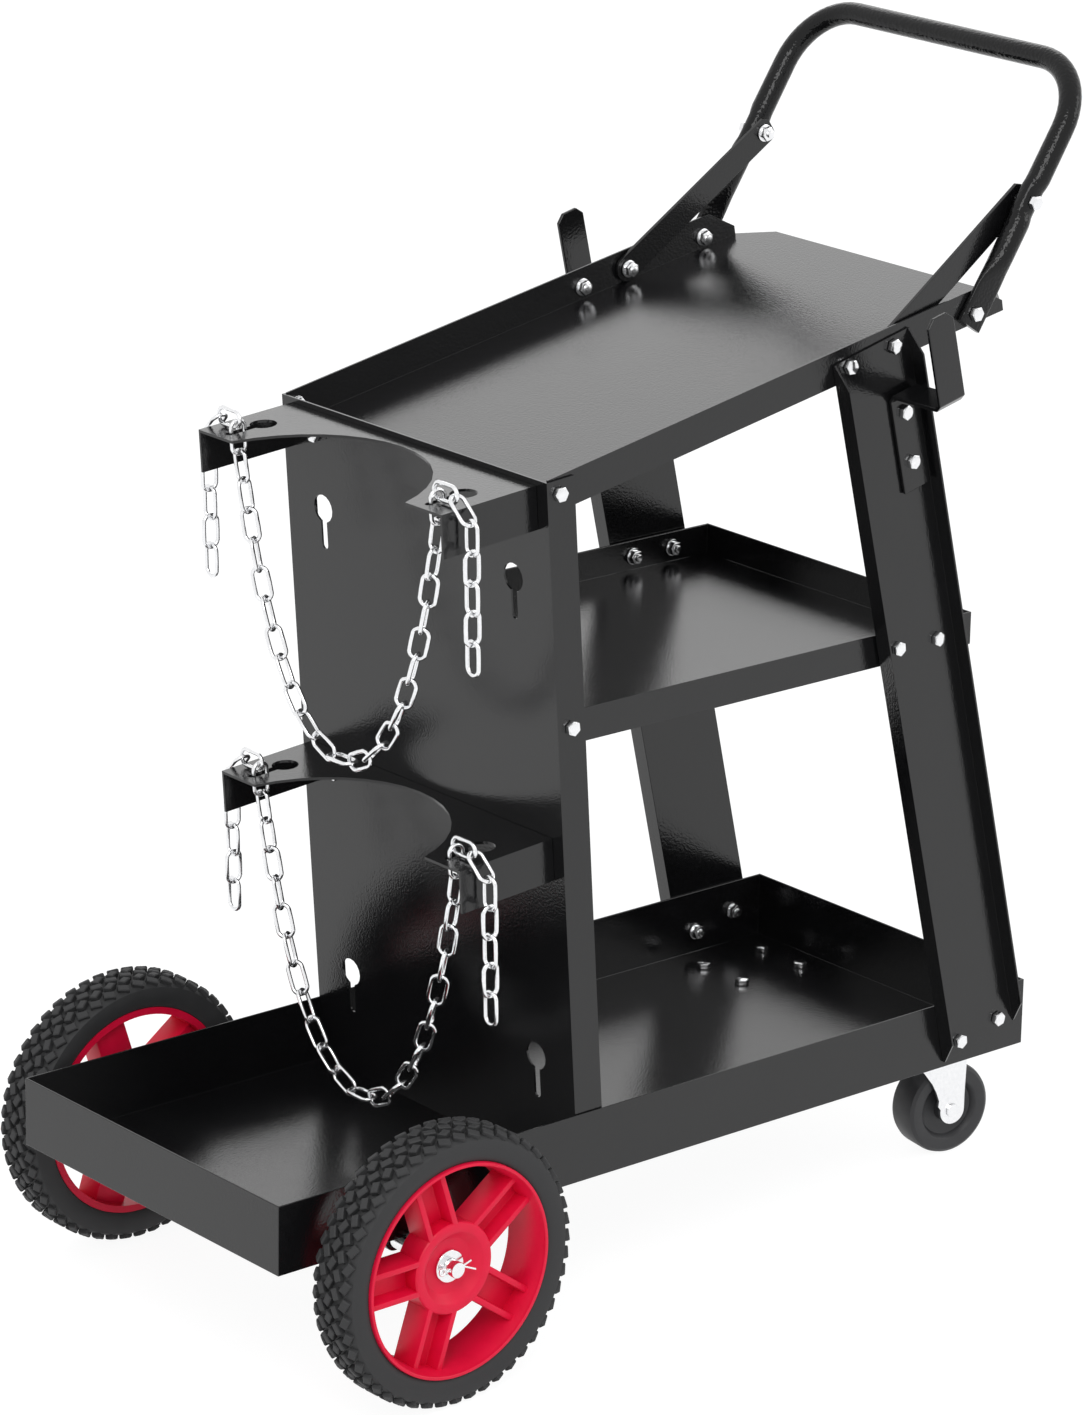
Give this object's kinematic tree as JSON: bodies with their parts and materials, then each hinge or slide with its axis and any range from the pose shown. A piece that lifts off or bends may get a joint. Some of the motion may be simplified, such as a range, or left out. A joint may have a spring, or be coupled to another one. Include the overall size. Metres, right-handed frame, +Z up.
{
  "type": "welding cart",
  "caption": "Three-tier sheet-metal welding cart with sloping top tray, bottle brackets with chains, tube handle, cable hooks, spoked rear wheels and swivel casters",
  "frame": {"origin": "middle of the bounding box on the ground", "axes": "+X towards the handle and the casters, +Y to the left of someone pushing the cart, +Z up"},
  "size_m": [0.7758, 0.4134, 0.8547],
  "materials": {
    "black_coat": "semi-gloss black powder coat with a fine orange peel",
    "hammertone": "black hammertone paint",
    "zinc": "bright zinc plate",
    "red_rim": "satin red moulding",
    "tyre_rubber": "dark grey rubber with block tread",
    "caster_grey": "dark grey solid caster wheel"
  },
  "bodies": {
    "cart": {"bottom_tray": "black_coat", "middle_tray": "black_coat", "top_tray": "black_coat", "back_panel": "black_coat", "leg_left": "black_coat", "leg_right": "black_coat", "bottle_bracket_upper": "black_coat", "bottle_bracket_lower": "black_coat", "cable_hook_left": "black_coat", "cable_hook_right": "black_coat", "axle_clamp_left": "black_coat", "axle_clamp_right": "black_coat", "handle_tube": "hammertone", "handle_brace_left": "hammertone", "handle_brace_right": "hammertone", "axle_washer_left": "zinc", "axle_spacer_left": "zinc", "split_pin_left": "zinc", "caster_plate_left": "zinc", "caster_rivet_left": "zinc", "bolt_post_top_left": "zinc", "bolt_post_middle_left": "zinc", "bolt_leg_top_rear_left": "zinc", "bolt_leg_top_front_left": "zinc", "bolt_handle_lug_left": "zinc", "bolt_brace_top_left": "zinc", "chain_anchor_upper_left": "zinc", "chain_anchor_lower_left": "zinc", "axle_washer_right": "zinc", "axle_spacer_right": "zinc", "split_pin_right": "zinc", "caster_plate_right": "zinc", "caster_rivet_right": "zinc", "bolt_post_top_right": "zinc", "bolt_post_middle_right": "zinc", "bolt_leg_top_rear_right": "zinc", "bolt_leg_top_front_right": "zinc", "bolt_handle_lug_right": "zinc", "bolt_brace_top_right": "zinc", "chain_anchor_upper_right": "zinc", "chain_anchor_lower_right": "zinc", "axle_rod": "zinc"},
    "wheel_left": {"wheel_rim_left": "red_rim", "wheel_tyre_left": "tyre_rubber"},
    "wheel_right": {"wheel_rim_right": "red_rim", "wheel_tyre_right": "tyre_rubber"},
    "caster_fork_left": {"caster_fork_left": "zinc", "caster_axle_left": "zinc"},
    "caster_roller_left": {"caster_wheel_left": "caster_grey"},
    "caster_fork_right": {"caster_fork_right": "zinc", "caster_axle_right": "zinc"},
    "caster_roller_right": {"caster_wheel_right": "caster_grey"},
    "chain_loop_upper": {"chain_loop_upper": "zinc"},
    "chain_tail_upper_left": {"chain_tail_upper_left": "zinc"},
    "chain_tail_upper_right": {"chain_tail_upper_right": "zinc"},
    "chain_loop_lower": {"chain_loop_lower": "zinc"},
    "chain_tail_lower_left": {"chain_tail_lower_left": "zinc"},
    "chain_tail_lower_right": {"chain_tail_lower_right": "zinc"}
  },
  "joints": [
    {"name": "wheel_left_spin", "type": "hinge", "parent": "cart", "child": "wheel_left", "pos_m": [-0.27176, 0.18635, 0.10298], "axis": [0, 1, 0], "continuous": true},
    {"name": "caster_left_swivel", "type": "hinge", "parent": "cart", "child": "caster_fork_left", "pos_m": [0.27335, 0.095, 0.09491], "axis": [0.0298, 0, 0.9996], "continuous": true},
    {"name": "caster_left_roll", "type": "hinge", "parent": "caster_fork_left", "child": "caster_roller_left", "pos_m": [0.29361, 0.09864, 0.03658], "axis": [-0.1633, 0.9866, 0.0049], "continuous": true},
    {"name": "wheel_right_spin", "type": "hinge", "parent": "cart", "child": "wheel_right", "pos_m": [-0.27176, -0.18635, 0.10298], "axis": [0, 1, 0], "continuous": true},
    {"name": "caster_right_swivel", "type": "hinge", "parent": "cart", "child": "caster_fork_right", "pos_m": [0.27335, -0.095, 0.09491], "axis": [0.0298, 0, 0.9996], "continuous": true},
    {"name": "caster_right_roll", "type": "hinge", "parent": "caster_fork_right", "child": "caster_roller_right", "pos_m": [0.29361, -0.09864, 0.03658], "axis": [0.1633, 0.9866, -0.0049], "continuous": true},
    {"name": "chain_loop_upper_swing", "type": "hinge", "parent": "cart", "child": "chain_loop_upper", "pos_m": [-0.20717, 0, 0.61631], "axis": [0, 1, 0], "range_deg": [-15, 60]},
    {"name": "chain_tail_upper_left_swing", "type": "hinge", "parent": "cart", "child": "chain_tail_upper_left", "pos_m": [-0.20752, 0.14887, 0.62164], "axis": [0, 1, 0], "range_deg": [-25, 60]},
    {"name": "chain_tail_upper_right_swing", "type": "hinge", "parent": "cart", "child": "chain_tail_upper_right", "pos_m": [-0.20752, -0.14887, 0.62164], "axis": [0, 1, 0], "range_deg": [-25, 60]},
    {"name": "chain_loop_lower_swing", "type": "hinge", "parent": "cart", "child": "chain_loop_lower", "pos_m": [-0.19447, 0, 0.35482], "axis": [0, 1, 0], "range_deg": [-15, 60]},
    {"name": "chain_tail_lower_left_swing", "type": "hinge", "parent": "cart", "child": "chain_tail_lower_left", "pos_m": [-0.19482, 0.14887, 0.36014], "axis": [0, 1, 0], "range_deg": [-25, 60]},
    {"name": "chain_tail_lower_right_swing", "type": "hinge", "parent": "cart", "child": "chain_tail_lower_right", "pos_m": [-0.19482, -0.14887, 0.36014], "axis": [0, 1, 0], "range_deg": [-25, 60]}
  ]
}
